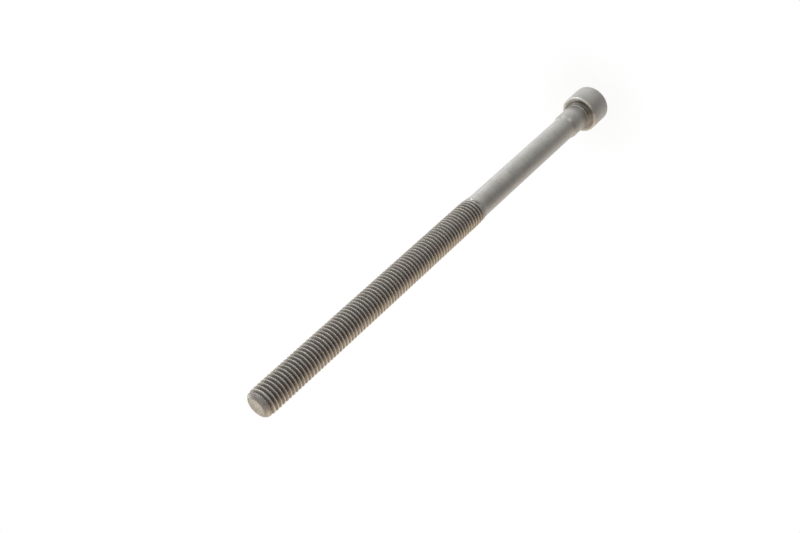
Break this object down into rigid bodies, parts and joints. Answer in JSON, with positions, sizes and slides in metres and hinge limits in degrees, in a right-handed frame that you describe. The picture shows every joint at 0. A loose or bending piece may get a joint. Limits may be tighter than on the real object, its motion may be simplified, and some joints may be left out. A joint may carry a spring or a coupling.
{
  "type": "cylinder head bolt",
  "caption": "Long steel engine bolt with a round socket head, a guide collar, a plain shank and a long coarse thread.",
  "frame": {"origin": "centre of the head's end face, on which the bolt stands", "axes": "+Z along the bolt's axis, from the head's end face to the tip; X and Y are alike"},
  "size_m": [0.018, 0.018, 0.232],
  "materials": {
    "phosphated_steel": "satin dark grey phosphate and oil over rolled and turned steel"
  },
  "bodies": {
    "root": {"head_bolt": "phosphated_steel"}
  },
  "joints": []
}
